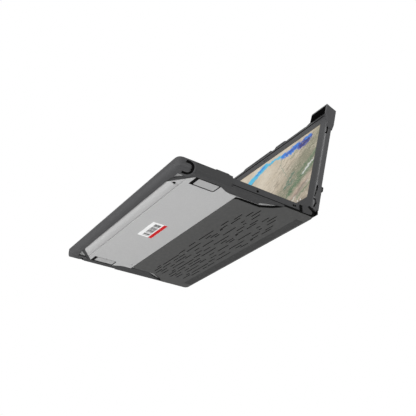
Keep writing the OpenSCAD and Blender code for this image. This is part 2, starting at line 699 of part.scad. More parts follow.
module lid_shell() color([0.3, 0.3, 0.31]) on_lid() difference() {
    union() {
        slab(-lid_back, lip_z) lid_plan(hw, shell_s0, lid_len, 6);
        // Two finger lips on the top edge
        slab(-10, lip_z + 0.5) {
            polygon([[-66, lid_len - 1], [-60, lid_len + 3.2], [16, lid_len + 3.2], [20, lid_len - 1]]);
            polygon([[27, lid_len - 1], [30, lid_len + 3.2], [52, lid_len + 3.2], [60, lid_len - 1]]);
        }
        // Thicker back near the hinge
        slab(-15.4, -lid_back + 0.1) translate([-hw, shell_s0]) square([2 * hw, band_s1 - shell_s0]);
        both_sides() along_x(body_hw + 0.5, hw) cheek_outline();
    }
    // Pocket for the display assembly and its window in the front lip
    slab(cover_back - 0.15, lip_z - 1) lid_plan(cover_hw + 0.15, cover_s0 - 0.15, cover_s1 + 0.2, 6);
    slab(-10, 2) lid_plan(hw - 4.6, cover_s0 - 0.15, cover_s1 - 1.4, 4);
    // Room for the hinge arms
    both_sides() block([127.8, 134.6], [0, cover_s0 + 1], [-lid_back, 0]);
    both_sides() along_x(hw - 2, hw + 1) side_slits(0);
    // Chamfer along the front of the side walls
    both_sides() along_y(8, lid_len + 4)
        polygon([[hw - 1.5, lip_z], [hw + 1, lip_z - 2.5], [hw + 1, lip_z + 1],
        [hw - 1.5, lip_z + 1]]);
    // Grooves in the finger lips
    for (x = [[-58, 14], [32, 50]]) block(x, [lid_len + 0.6, lid_len + 1.8], [-5.4, 0]);
}

// Black fill of the side slits, the strip between bezel and front lip, and the rim of the top edge.
module lid_seals() color([0.02, 0.02, 0.02]) on_lid() {
    both_sides() along_x(hw - 1.95, hw - 1) intersection() {
        side_slits(-0.1);
        translate([0, -12]) square([210, 12 + lip_z - 0.4]);
    }
    slab(bezel_z + 0.02, bezel_z + 0.4) translate([-152, cover_s1 - 3.7]) square([304, 2]);
    slab(-9.6, lip_z - 0.1) {
        translate([-106.8, lid_len + 0.02]) square([40.6, 0.8]);
        translate([60.6, lid_len + 0.02]) square([46.2, 0.8]);
    }
}

// Black tail that continues the lid's back round the hinge.
module lid_tail() color([0.04, 0.04, 0.04]) on_lid() along_x(-hw + 0.2, hw - 0.2) intersection() {
    difference() {
        circle(r = 15.4, $fn = 96);
        circle(r = guard_r + 0.2, $fn = 96);
    }
    polygon([[shell_s0, -20], [shell_s0, -9], [0, -9], [-2.4, -20]]);
}

// Plan of the hood's outside or of its hollow.
module hood_plan(half_w, s1, r) {
    translate([90, 150]) square([half_w - 90, s1 - r - 150]);
    translate([90, 150]) square([half_w - r - 90, s1 - 150]);
    translate([half_w - r, s1 - r]) circle(r = r, $fn = 32);
}

// Right corner hood: top, side and back walls that wrap the case's front corner when closed.
module corner_hood() color([0.28, 0.28, 0.29]) on_lid() {
    difference() {
        union() {
            slab(hood_back, hood_front) intersection() {
                hood_plan(hw + hood_out, hood_s1, 2.5);
                translate([90, hood_s0]) square([100, 60]);
            }
            // Tapered run-out along the side band
            slab(hood_back, hood_front - 6.5) polygon([[hw - 4, hood_s0 - hood_taper],
                [hw + 0.2, hood_s0 - hood_taper], [hw + hood_out, hood_s0 + 0.1],
                [hw - 4, hood_s0 + 0.1]]);
        }
        // Space for the lid shell and, in front of it, for the case's corner
        slab(-lid_back - 0.05, hood_front + 1) hood_plan(hw + 0.05, lid_len + 0.05, 6);
        slab(-3.9, hood_front + 1) hood_plan(hw + 0.1, hood_s1 - hood_wall, 1);
        // Slanted inner end
        along_y(150, 250) polygon([[60, -30], [hood_x[0] + 8, -30], [hood_x[0], -14], [hood_x[0], -5],
            [hood_x[1], hood_front], [hood_x[1], 20], [60, 20]]);
        // Side rim is lower towards the hinge
        along_x(hw - 10, hw + 10) polygon([[100, 20], [100, -2.5], [hood_s0 - 1, -2.5],
            [hood_s0 + 5.5, 0.2], [hood_s0 + 11, 2.5], [hood_s0 + 17, hood_front], [hood_s0 + 17, 20]]);
    }
    // Ramp between the hood and the lid's top edge
    slab(-12, lip_z - 0.3) polygon([[107, lid_len], [hood_x[0], lid_len + 3.6], [hood_x[0], lid_len]]);
}
module corner_hood_right() corner_hood();
module corner_hood_left() mirror([1, 0, 0]) corner_hood();

module lid_hooks() color([0.03, 0.03, 0.03]) both_sides() on_lid()
    along_y(45, 53) polygon([[161, -15.4], [162, -17.4], [165.4, -17.4], [166, -15.6], [165, -15.4]]);

module display_back_cover() color([0.7, 0.7, 0.72]) on_lid() difference() {
    slab(cover_back, lip_z - 1.1) lid_plan(cover_hw, cover_s0, cover_s1, 6);
    slab(cover_back + 1.1, 0) lid_plan(cover_hw - 1.3, cover_s0 + 1.3, cover_s1 - 1.3, 5);
    // Hinge arms pass through the lower wall
    both_sides() block([128, 134.4], [cover_s0 - 1, cover_s0 + 4], [cover_back + 1.1, 0]);
}

module display_bezel() color([0.3, 0.3, 0.31]) on_lid() difference() {
    slab(bezel_z - 0.6, bezel_z) lid_plan(cover_hw - 1.5, cover_s0 + 1.5, cover_s1 - 1.5, 5);
    translate([-screen_w / 2, screen_s, -10]) cube([screen_w, screen_h, 20]);
    both_sides() block([127.6, 134.8], [cover_s0, cover_s0 + 5], [-10, 10]);
    // Camera window and the track of its shutter
    translate([0, screen_s + screen_h + 8, -10]) cylinder(r = 1.4, h = 20, $fn = 24);
    block([-4.6, 12], [screen_s + screen_h + 6.2, screen_s + screen_h + 9.8], [bezel_z - 0.3, 0]);
}

module display_panel() color([0.75, 0.7, 0.6]) on_lid()
    slab(screen_z - 3, screen_z) translate([-149.6, screen_s - 8]) square([299.2, screen_h + 10.5]);

module camera_module() color([0.1, 0.1, 0.1]) on_lid() {
    block([-28, 28], [screen_s + screen_h + 4.4, screen_s + screen_h + 11.6], [-7, -6.2]);
    translate([0, screen_s + screen_h + 8, -6.3]) cylinder(r = 2.6, h = 1.1, $fn = 32);
}

module camera_shutter() color([0.06, 0.06, 0.06]) on_lid()
    translate([7, screen_s + screen_h + 8, bezel_z - 0.28]) linear_extrude(0.26) rounded(8.6, 3.2, 0.8);

module display_bumpers() color([0.08, 0.08, 0.08]) on_lid() both_sides()
    translate([100, 12, bezel_z]) cylinder(r = 2.6, h = 0.9, $fn = 32);

module antennas() color([0.2, 0.2, 0.2]) on_lid() both_sides()
    block([58, 108], [screen_s + screen_h + 5, screen_s + screen_h + 13],
        [cover_back + 1.2, cover_back + 1.9]);

case_frame();
front_bumper();
bottom_panel();
rear_vent_plate();
grip_strips();
panel_seals();
asset_label();
label_stripe();
label_bars();
rear_corner_clips();
side_seals();
rear_hinge_guard();
notebook_bottom_cover();
cover_screws();
battery_pack();
mainboard();
heat_spreader();
storage_module();
wireless_card();
speakers();
audio_socket();
data_ports();
lock_plate();
keyboard_plate();
keyboard_membrane();
keyboard_deck();
touchpad_bracket();
touchpad();
power_button();
display_cable();
keys_function();
keys_number();
keys_upper();
keys_home();
keys_lower();
keys_space();
hinge_bracket_left();
hinge_bracket_right();
hinge_screws();
hinge_washers();
hinge_arm_left();
hinge_arm_right();
hinge_cover_left();
hinge_cover_right();
lid_shell();
lid_seals();
lid_tail();
corner_hood_left();
corner_hood_right();
lid_hooks();
display_back_cover();
display_bezel();
display_panel();
camera_module();
camera_shutter();
display_bumpers();
antennas();
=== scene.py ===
"""Looks of the field data collector: materials, keycaps, display picture, light and camera."""

import json
import math

import bmesh
import bpy
from mathutils import Matrix, Vector


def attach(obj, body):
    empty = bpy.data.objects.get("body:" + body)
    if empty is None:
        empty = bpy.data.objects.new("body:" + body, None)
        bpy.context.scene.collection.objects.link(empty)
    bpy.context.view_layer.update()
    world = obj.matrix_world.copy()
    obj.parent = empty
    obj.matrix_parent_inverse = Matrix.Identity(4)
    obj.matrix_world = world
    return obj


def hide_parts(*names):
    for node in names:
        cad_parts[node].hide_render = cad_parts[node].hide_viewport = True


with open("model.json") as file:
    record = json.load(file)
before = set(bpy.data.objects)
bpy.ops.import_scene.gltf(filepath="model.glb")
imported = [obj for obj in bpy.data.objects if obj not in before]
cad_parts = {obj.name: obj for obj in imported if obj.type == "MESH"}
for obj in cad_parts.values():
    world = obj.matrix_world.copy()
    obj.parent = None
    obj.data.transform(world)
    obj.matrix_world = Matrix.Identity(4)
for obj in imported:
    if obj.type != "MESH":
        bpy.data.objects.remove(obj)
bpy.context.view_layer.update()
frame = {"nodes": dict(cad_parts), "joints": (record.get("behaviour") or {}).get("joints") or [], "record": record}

MM = 0.001
nodes = frame["nodes"]

# The lid's own frame at rest: X along the hinge, Y up the lid, Z out of the display.
hinge = next(j for j in frame["joints"] if j["name"] == "lid_hinge")
HINGE_POS = Vector(hinge["pos_m"])
LID_OPEN = -hinge["range_deg"][0]
LID_TILT = math.radians(180 - LID_OPEN)


# ---- node helpers ----
class Graph:
    """Short calls that build one material's nodes."""

    def __init__(self, name):
        self.material = bpy.data.materials.new(name)
        self.material.use_nodes = True
        self.tree = self.material.node_tree
        self.shader = self.tree.nodes["Principled BSDF"]
        self.here = self.node("ShaderNodeTexCoord").outputs["Object"]

    def feed(self, socket, value):
        if isinstance(value, bpy.types.NodeSocket):
            self.tree.links.new(value, socket)
        else:
            socket.default_value = value

    def node(self, kind, inputs=None, **settings):
        made = self.tree.nodes.new(kind)
        for key, value in settings.items():
            setattr(made, key, value)
        for socket, value in (inputs or {}).items():
            self.feed(made.inputs[socket], value)
        return made

    def set(self, **values):
        for key, value in values.items():
            self.feed(self.shader.inputs[key.replace("_", " ")], value)

    def noise(self, scale, detail=3, roughness=0.55, where=None, stretch=None):
        """Noise at scale per metre, stretched by the three factors if they are given."""
        at = where or self.here
        if stretch:
            at = self.node("ShaderNodeMapping", {"Vector": at, "Scale": stretch}).outputs[0]
        inputs = {"Vector": at, "Scale": scale, "Detail": detail, "Roughness": roughness}
        return self.node("ShaderNodeTexNoise", inputs).outputs["Fac"]

    def math(self, operation, a, b=0.0, c=0.0, clamp=False):
        made = self.node("ShaderNodeMath", {0: a, 1: b, 2: c}, operation=operation, use_clamp=clamp)
        return made.outputs[0]

    def vector(self, operation, a, b=(0, 0, 0)):
        made = self.node("ShaderNodeVectorMath", {0: a, 1: b}, operation=operation)
        return made.outputs["Value" if operation in ("LENGTH", "DOT_PRODUCT", "DISTANCE") else "Vector"]

    def scaled(self, vector, factor):
        made = self.node("ShaderNodeVectorMath", {0: vector, "Scale": factor}, operation="SCALE")
        return made.outputs["Vector"]

    def wobble(self, at, scale, detail, roughness, reach):
        """A flat offset by noise, of half of reach at most."""
        made = self.node("ShaderNodeTexNoise",
                         {"Vector": at, "Scale": scale, "Detail": detail, "Roughness": roughness})
        offset = self.vector("SUBTRACT", made.outputs["Color"], (0.5, 0.5, 0.5))
        return self.vector("MULTIPLY", offset, (reach, reach, 0))

    def remap(self, value, low, high, to_low=0.0, to_high=1.0):
        return self.node("ShaderNodeMapRange", {"Value": value, "From Min": low, "From Max": high,
                                                "To Min": to_low, "To Max": to_high}).outputs[0]

    def mix(self, factor, a, b):
        made = self.node("ShaderNodeMix", data_type="RGBA")
        self.feed(made.inputs["Factor"], factor)
        self.feed(made.inputs[6], a)
        self.feed(made.inputs[7], b)
        return made.outputs[2]

    def split(self, where=None):
        made = self.node("ShaderNodeSeparateXYZ", {0: where or self.here})
        return made.outputs[0], made.outputs[1], made.outputs[2]

    def bevel(self, radius):
        return self.node("ShaderNodeBevel", {"Radius": radius}, samples=4).outputs[0]

    def bump(self, height, strength, distance, normal=None):
        inputs = {"Height": height, "Strength": strength, "Distance": distance}
        if normal is not None:
            inputs["Normal"] = normal
        return self.node("ShaderNodeBump", inputs).outputs[0]

    def edges(self, rounded):
        """Near 1 where the rounded normal leaves the face's own normal, so along the edges that get a painted
        highlight.
        """
        own = self.node("ShaderNodeNewGeometry").outputs["Normal"]
        return self.remap(self.vector("DOT_PRODUCT", own, rounded), 0.995, 0.85)


def grey(value):
    return (value, value, value, 1)


def shade(colour, factor):
    return (*[min(1, c * factor) for c in colour[:3]], 1)


def moulded(name, colour, roughness=0.5, radius=0.5, grain=2600, grain_depth=0.3, edge_highlight_gain=1.6,
            mottle=0.12, specular=0.4):
    """Moulded plastic with a fine grain, faint cloudiness and a painted highlight along its edges."""
    g = Graph(name)
    rounded = g.bevel(radius * MM)
    cloud = g.noise(14, 4)
    base = g.mix(cloud, shade(colour, 1 - mottle), shade(colour, 1 + mottle))
    speck = g.remap(g.noise(900, 2), 0.42, 0.62)
    base = g.mix(g.math("MULTIPLY", speck, 0.25), base, shade(colour, 1.25))
    # Painted highlight: edges painted lighter than the plastic, broken up by noise
    edge_highlight = g.math("MULTIPLY", g.edges(rounded), g.remap(g.noise(60, 5), 0.35, 0.7, 0.15, 0.75))
    g.set(Base_Color=g.mix(edge_highlight, base, shade(colour, edge_highlight_gain)))
    g.set(Roughness=g.remap(g.noise(120, 5), 0.3, 0.7, roughness - 0.07, roughness + 0.09))
    g.set(Specular_IOR_Level=specular)
    g.set(Normal=g.bump(g.noise(grain, 2), grain_depth, 0.05 * MM, rounded))
    return g.material


def metal(name, colour, roughness=0.32, brushed=(1, 1, 1), radius=0.25, metallic=1.0):
    """Bare or painted metal with a directional grain."""
    g = Graph(name)
    rounded = g.bevel(radius * MM)
    grain = g.noise(1500, 3, stretch=brushed)
    g.set(Base_Color=g.mix(grain, shade(colour, 0.85), shade(colour, 1.1)))
    g.set(Metallic=metallic)
    g.set(Roughness=g.remap(g.noise(90, 4, stretch=brushed), 0.3, 0.7, roughness - 0.08, roughness + 0.1))
    g.set(Normal=g.bump(grain, 0.18, 0.04 * MM, rounded))
    return g.material


def film(name, colour, roughness=0.35, specular=0.15):
    """Printed label stock with fibres and slightly lifted ink."""
    g = Graph(name)
    fibre = g.noise(700, 4, stretch=(1, 6, 1))
    g.set(Base_Color=g.mix(fibre, shade(colour, 0.93), shade(colour, 1.03)))
    g.set(Roughness=g.remap(g.noise(200, 3), 0.3, 0.7, roughness - 0.05, roughness + 0.1))
    g.set(Specular_IOR_Level=specular)
    g.set(Normal=g.bump(fibre, 0.1, 0.03 * MM))
    return g.material


def board(name, mask, traces):
    """Solder mask over copper traces."""
    g = Graph(name)
    cell = g.node("ShaderNodeTexVoronoi", {"Scale": 260, "Vector": g.here},
                  feature="F1", distance="CHEBYCHEV")
    wave = g.math("SINE", g.math("MULTIPLY", cell.outputs["Distance"], 9))
    lines = g.remap(g.math("ABSOLUTE", wave), 0.2, 0.28)
    g.set(Base_Color=g.mix(lines, (*traces, 1), (*mask, 1)))
    g.set(Roughness=g.remap(g.noise(300, 3), 0.3, 0.7, 0.3, 0.45))
    g.set(Normal=g.bump(lines, 0.25, 0.05 * MM, g.bevel(0.1 * MM)))
    return g.material


def ribbed_rubber(name, colour, pitch):
    """Rubber with shallow waves of the given pitch across Y."""
    g = Graph(name)
    rounded = g.bevel(0.3 * MM)
    _, y, _ = g.split()
    wave = g.math("SINE", g.math("MULTIPLY", y, 2 * math.pi / pitch))
    g.set(Base_Color=g.mix(g.noise(50, 5), shade(colour, 0.8), shade(colour, 1.2)))
    g.set(Roughness=g.remap(g.noise(150, 4), 0.3, 0.7, 0.6, 0.8))
    g.set(Specular_IOR_Level=0.3)
    g.set(Normal=g.bump(wave, 0.3, 0.1 * MM, rounded))
    return g.material


# ---- the display's picture ----
# Tones of the map, as display values.
TONES = {
    "sand": (0.78, 0.73, 0.65), "pale": (0.85, 0.81, 0.74), "rock": (0.50, 0.46, 0.41),
    "dusk": (0.64, 0.60, 0.53), "scrub": (0.46, 0.48, 0.40), "green": (0.25, 0.43, 0.31),
    "teal": (0.22, 0.43, 0.37), "pink": (0.74, 0.65, 0.60), "snow": (0.93, 0.94, 0.93),
    "cyan": (0.30, 0.73, 0.88), "blue": (0.18, 0.49, 0.85), "deep": (0.18, 0.30, 0.66),
    "navy": (0.18, 0.19, 0.45), "shore": (0.12, 0.20, 0.20)}
# Each stroke: tone, softness, half width, the points of its middle line in lid millimetres
# and its strength.
STROKES = [
    ("dusk", 40, 26, [(60, 56), (144, 62)], 0.8),
    ("dusk", 34, 20, [(84, 120), (120, 140), (146, 170)], 0.7),
    ("scrub", 26, 17, [(104, 124), (124, 152), (144, 182)], 0.9),
    ("scrub", 24, 20, [(80, 72), (112, 98), (144, 126)], 0.9),
    ("green", 9, 7, [(100, 74), (120, 96), (144, 114)], 0.95),
    ("green", 8, 5, [(112, 108), (132, 124), (147, 140)], 0.85),
    ("green", 5, 2.4, [(88, 52), (100, 74)], 0.85),
    ("teal", 4, 3, [(84, 90), (90, 106), (98, 118)], 0.9),
    ("teal", 4, 2.6, [(92, 94), (104, 98)], 0.85),
    ("green", 4, 2.6, [(122, 48), (134, 60), (145, 70)], 0.75),
    ("rock", 5, 1.6, [(96, 42), (116, 60), (138, 82)], 0.8),
    ("snow", 3, 1.1, [(102, 42), (120, 58), (140, 78)], 0.75),
    ("rock", 6, 4, [(118, 58), (134, 74)], 0.85),
    ("pink", 6, 2.6, [(108, 56), (126, 76), (143, 90)], 0.75),
    ("snow", 3, 2, [(124, 102), (143, 122)], 0.9),
    ("green", 5, 2.6, [(84, 164), (94, 172)], 0.75),
    ("rock", 20, 8, [(-60, 66), (40, 54)], 0.4),
    ("pale", 18, 12, [(-10, 90), (10, 130), (14, 160)], 0.7),
    ("shore", 2, 1.1, [(-26, 160), (-6, 176), (16, 187), (40, 188)], 0.85),
    ("teal", 2.2, 0.7, [(56, 184), (58, 160), (66, 146), (76, 130), (86, 112), (98, 104)], 0.85),
    ("cyan", 2.5, 14, [(-66, 120), (-56, 142), (-38, 162)], 1),
    ("cyan", 2.5, 9, [(-38, 164), (-14, 180), (8, 189)], 1),
    ("blue", 3, 3.4, [(-14, 182), (4, 190)], 0.9),
    ("cyan", 2, 3.2, [(10, 190), (40, 190), (60, 186)], 1),
    ("blue", 2.5, 8, [(60, 184), (78, 182), (94, 186)], 1),
    ("deep", 3, 3.6, [(66, 183), (88, 184)], 0.85),
    ("deep", 3.5, 10, [(104, 182), (120, 186)], 0.95),
    ("navy", 4, 5.5, [(106, 180), (120, 184)], 0.9),
    ("blue", 2.5, 3.5, [(114, 191), (124, 193)], 0.95)]
# Tones broken up into patches, and tones broken up by shoals.
PATCHY = ("scrub", "green", "teal", "snow", "dusk")
LAKES = ("blue", "deep", "navy")
# The lit picture in lid millimetres: half its width, the middle of its height and half its height.
PICTURE_HALF_W = 146.9
PICTURE_MIDDLE = 119.1
PICTURE_HALF_H = 82.6
PICTURE_GLOW = 0.86
BAR_TOP = 43
MARK_XS = (118, 124.5, 131)
MARK_S = 40.6
MARK_RADIUS = 1.3
RIDGE_TURN = math.radians(-48)


def tone(name):
    """A display value as linear light."""
    return (*[c ** 2.2 for c in TONES[name]], 1)


def lid_millimetres(g):
    """The shaded point in the lid's own frame, in millimetres."""
    moved = g.vector("SUBTRACT", g.here, tuple(HINGE_POS))
    turned = g.node("ShaderNodeVectorRotate", {"Vector": moved, "Angle": -LID_TILT},
                    rotation_type="X_AXIS").outputs[0]
    return g.scaled(turned, 1 / MM)


def stroke_mask(g, at, points, half, soft):
    """1 inside a band of the given half width about the line through the points."""
    nearest = None
    for start, end in zip(points, points[1:]):
        a = Vector((*start, 0))
        run = Vector((*end, 0)) - a
        off = g.vector("SUBTRACT", at, tuple(a))
        along = g.math("DIVIDE", g.vector("DOT_PRODUCT", off, tuple(run)), run.length_squared, clamp=True)
        gap = g.vector("DISTANCE", off, g.scaled(tuple(run), along))
        nearest = gap if nearest is None else g.math("MINIMUM", nearest, gap)
    return g.remap(nearest, half + soft / 2, half - soft / 2)


def screen_material():
    """A plain terrain map with a bar of small icons, behind matt glass."""
    g = Graph("display_map")
    at = lid_millimetres(g)
    flat = g.vector("MULTIPLY", at, (1, 1, 0))
    push = g.wobble(flat, 0.09, 6.0, 0.66, 15)
    shake = g.wobble(flat, 0.26, 4.0, 0.6, 11)
    bent = g.vector("ADD", g.vector("ADD", flat, push), shake)
    turned = g.node("ShaderNodeVectorRotate", {"Vector": bent, "Angle": RIDGE_TURN},
                    rotation_type="Z_AXIS").outputs[0]
    dunes = g.noise(0.035, 6, 0.6, bent)
    colour = g.mix(g.remap(dunes, 0.35, 0.68), tone("sand"), tone("pale"))
    relief = g.noise(0.10, 8, 0.72, turned, stretch=(0.45, 1.9, 1))
    x, s, _ = g.split(at)
    hills = g.remap(g.math("SUBTRACT", x, g.math("MULTIPLY", s, 0.55)), -60, 30, 0.12, 1)
    colour = g.mix(g.math("MULTIPLY", g.remap(relief, 0.46, 0.62), hills), colour, tone("dusk"))
    colour = g.mix(g.math("MULTIPLY", g.remap(relief, 0.50, 0.66), hills), colour, tone("rock"))
    fine = g.noise(0.42, 5, 0.75, turned, stretch=(0.5, 1.4, 1))
    shoals = g.noise(0.16, 4, 0.6, flat)
    for name, soft, half, points, strength in STROKES:
        mask = stroke_mask(g, bent, points, half, soft)
        if name in PATCHY:
            mask = g.math("MULTIPLY", mask, g.remap(fine, 0.36, 0.54), clamp=True)
        if name in LAKES:
            mask = g.math("MULTIPLY", mask, g.remap(shoals, 0.33, 0.39), clamp=True)
        colour = g.mix(g.math("MULTIPLY", mask, strength), colour, tone(name))
    colour = g.mix(g.remap(fine, 0.38, 0.72, 0, 0.38), colour, tone("rock"))
    # Darker bar with three small round marks along the bottom
    bar = g.remap(s, BAR_TOP + 1, BAR_TOP - 1)
    colour = g.mix(g.math("MULTIPLY", bar, 0.45), colour, tone("rock"))
    for mark_x in MARK_XS:
        gap = g.vector("DISTANCE", flat, (mark_x, MARK_S, 0))
        colour = g.mix(g.remap(gap, MARK_RADIUS + 0.2, MARK_RADIUS - 0.2), colour, grey(0.8))
    inside_x = g.remap(g.math("ABSOLUTE", x), PICTURE_HALF_W + 0.05, PICTURE_HALF_W - 0.05)
    up = g.math("ABSOLUTE", g.math("SUBTRACT", s, PICTURE_MIDDLE))
    inside_s = g.remap(up, PICTURE_HALF_H + 0.05, PICTURE_HALF_H - 0.05)
    inside = g.math("MULTIPLY", inside_x, inside_s)
    colour = g.mix(inside, grey(0.01), colour)
    g.set(Base_Color=g.mix(0.85, colour, grey(0.0)), Emission_Color=colour)
    g.set(Emission_Strength=g.math("MULTIPLY", inside, PICTURE_GLOW))
    g.set(Roughness=0.32, Specular_IOR_Level=0.15)
    g.set(Normal=g.bump(g.noise(4000, 1), 0.05, 0.02 * MM))
    return g.material


# The black sheet painted as shade behind the vent plate's slots: its half width and front edge, and the waves of
# its weave per metre in radians
SHADE_SHEET_HALF_W = 141.1 * MM
SHADE_SHEET_FRONT = 0.15 * MM
SHADE_SHEET_WAVES = 9000


def bottom_cover_material():
    """Silver paint, with a black sheet painted as shade behind the vent plate's slots."""
    g = Graph("notebook_silver")
    x, y, _ = g.split()
    shade_sheet_x = g.remap(g.math("ABSOLUTE", x), SHADE_SHEET_HALF_W + 0.1 * MM, SHADE_SHEET_HALF_W - 0.1 * MM)
    shade_sheet_y = g.remap(y, SHADE_SHEET_FRONT - 0.15 * MM, SHADE_SHEET_FRONT + 0.15 * MM)
    shade_sheet = g.math("MULTIPLY", shade_sheet_x, shade_sheet_y)
    fleck = g.noise(1800, 2)
    across = g.math("SINE", g.math("MULTIPLY", x, SHADE_SHEET_WAVES))
    weave = g.math("MULTIPLY", across, g.math("SINE", g.math("MULTIPLY", y, SHADE_SHEET_WAVES)))
    silver = g.mix(fleck, grey(0.42), grey(0.52))
    shade_black = g.mix(g.remap(weave, -1, 1), grey(0.006), grey(0.02))
    # Painted shade: a black sheet with a faint weave where the slots look in, matt and not metallic
    g.set(Base_Color=g.mix(shade_sheet, silver, shade_black))
    g.set(Roughness=g.remap(shade_sheet, 0, 1, 0.38, 0.9), Metallic=g.remap(shade_sheet, 0, 1, 0.35, 0.0))
    g.set(Normal=g.bump(fleck, 0.15, 0.03 * MM, g.bevel(0.4 * MM)))
    return g.material


# Where the hood's hollow, which is painted as shade, ends, in lid millimetres: sideways, up the lid, at the front
# and at the back.
HOLLOW_SIDE = 165.3
HOLLOW_TOP = 227.2
HOLLOW_FRONT = 4.45
HOLLOW_BACK = -14.5


def hood_material(colour):
    """Case plastic outside with a painted highlight along its edges, and painted shade, near black, inside the
    hood.
    """
    g = Graph("lid_hood")
    rounded = g.bevel(0.7 * MM)
    x, s, n = g.split(lid_millimetres(g))
    beside = g.remap(g.math("ABSOLUTE", x), HOLLOW_SIDE + 0.1, HOLLOW_SIDE - 0.1)
    below = g.remap(s, HOLLOW_TOP + 0.1, HOLLOW_TOP - 0.1)
    behind = g.remap(n, HOLLOW_FRONT + 0.05, HOLLOW_FRONT - 0.05)
    before = g.remap(n, HOLLOW_BACK - 0.1, HOLLOW_BACK + 0.1)
    inside = g.math("MULTIPLY", g.math("MULTIPLY", beside, below), g.math("MULTIPLY", behind, before))
    base = g.mix(g.noise(14, 4), shade(colour, 0.88), shade(colour, 1.12))
    # Painted highlight: edges painted much lighter, broken up by noise
    edge_highlight = g.math("MULTIPLY", g.edges(rounded), g.remap(g.noise(60, 5), 0.35, 0.7, 0.15, 0.75))
    base = g.mix(edge_highlight, base, shade(colour, 1.8))
    # Painted shade: the hollow inside the hood painted near black, with little sheen
    g.set(Base_Color=g.mix(inside, base, grey(0.004)))
    g.set(Roughness=g.remap(g.noise(120, 5), 0.3, 0.7, 0.42, 0.58))
    g.set(Specular_IOR_Level=g.remap(inside, 0, 1, 0.4, 0.05))
    g.set(Normal=g.bump(g.noise(2600, 2), 0.3, 0.05 * MM, rounded))
    return g.material


def plate_material(colour):
    """Textured case plastic with painted shade, near black, in its slots and on its deeper faces and edges."""
    g = Graph("case_plate")
    rounded = g.bevel(0.3 * MM)
    _, y, z = g.split()
    # The plate's front part slopes up, so only deeper faces count there as painted shade
    behind_slope = g.remap(y, -1.5 * MM, -0.5 * MM)
    shallow = g.math("MULTIPLY", g.remap(z, 0.08 * MM, 0.3 * MM), behind_slope)
    slot_shade = g.math("MAXIMUM", shallow, g.remap(z, 0.6 * MM, 0.9 * MM))
    base = g.mix(g.noise(9, 4), shade(colour, 0.9), shade(colour, 1.1))
    speck = g.remap(g.noise(1100, 2), 0.45, 0.62)
    base = g.mix(g.math("MULTIPLY", speck, 0.3), base, shade(colour, 1.35))
    # Painted shade: slot walls and deeper faces painted near black, with little sheen
    g.set(Base_Color=g.mix(slot_shade, base, grey(0.004)))
    g.set(Roughness=g.remap(g.noise(160, 5), 0.3, 0.7, 0.5, 0.68))
    g.set(Specular_IOR_Level=g.remap(slot_shade, 0, 1, 0.4, 0.05))
    g.set(Normal=g.bump(g.noise(1500, 3), 0.45, 0.05 * MM, rounded))
    return g.material


looks = {
    "bumper": moulded("bumper", (0.052, 0.052, 0.054), roughness=0.5, radius=1.2),
    "case_dark": moulded("case_dark", (0.036, 0.036, 0.037), roughness=0.52, radius=0.6),
    "case_plate": plate_material((0.062, 0.062, 0.061)),
    "panel_grey": moulded("panel_grey", (0.43, 0.43, 0.43), roughness=0.5, radius=0.2,
                          edge_highlight_gain=1.02, mottle=0.02, grain_depth=0.12),
    "grip": ribbed_rubber("grip", (0.05, 0.05, 0.05), 2.76 * MM),
    # Painted shade: near-black plastic with almost no sheen, for parts put where there is only deep shade
    "seal": moulded("seal", (0.003, 0.003, 0.003), roughness=0.75, radius=0.3, specular=0.08),
    "label_white": film("label_white", (0.86, 0.86, 0.86)),
    "label_red": film("label_red", (0.56, 0.002, 0.006)),
    "label_black": film("label_black", (0.03, 0.03, 0.03)),
    "notebook_silver": bottom_cover_material(),
    "notebook_dark": moulded("notebook_dark", (0.042, 0.042, 0.044), roughness=0.46, radius=0.5),
    "steel": metal("steel", (0.55, 0.55, 0.56), brushed=(1, 9, 9)),
    "aluminium_sheet": metal("aluminium_sheet", (0.7, 0.7, 0.72), roughness=0.38, brushed=(9, 1, 9)),
    "copper": metal("copper", (0.72, 0.40, 0.24), roughness=0.35, brushed=(9, 1, 9)),
    "battery_black": moulded("battery_black", (0.03, 0.03, 0.032), roughness=0.4),
    "circuit_board": board("circuit_board", (0.01, 0.10, 0.05), (0.05, 0.22, 0.12)),
    "speaker_black": moulded("speaker_black", (0.02, 0.02, 0.02), roughness=0.55, radius=0.3),
    "membrane": moulded("membrane", (0.022, 0.022, 0.023), roughness=0.5, edge_highlight_gain=1.1),
    "touchpad_face": moulded("touchpad_face", (0.09, 0.09, 0.095), roughness=0.36, radius=0.4,
                             grain_depth=0.1),
    "keycap": moulded("keycap", (0.018, 0.018, 0.019), roughness=0.5, radius=0.5, grain=3200),
    "lid_case": moulded("lid_case", (0.062, 0.062, 0.064), roughness=0.48, radius=0.6),
    "lid_hood": hood_material((0.058, 0.058, 0.06)),
    "screen_glass": screen_material()}


def dress_cad_nodes():
    for part in frame["record"]["subparts"]:
        target = nodes[part["node"]]
        target.data.materials.clear()
        target.data.materials.append(looks[part["material_slot"]])


# ---- keycaps ----
KEY_CORNER = 1.4 * MM
KEY_DISH = 0.28 * MM
CORNER_STEPS = 5
# Each ring of a cap's skirt: how far in from the footprint, and how far below the highest point
SKIRT = [(0.0, None), (0.0, 0.75 * MM), (0.12 * MM, 0.4 * MM), (0.34 * MM, 0.14 * MM),
         (0.66 * MM, 0.03 * MM), (0.95 * MM, 0.0)]
TOP_SCALES = (0.9, 0.75, 0.55, 0.3)
# The two home-row caps, counted from the left, with a raised bar to feel for
HOME_BUMPS = (4, 7)
BUMP_INSET = 3.4 * MM
BUMP_SINK = 0.12 * MM
BUMP_HALF_SIZE = Vector((1.6, 0.512, 0.256)) * MM
BUMP_SIDES = 16
BUMP_STEPS = 8


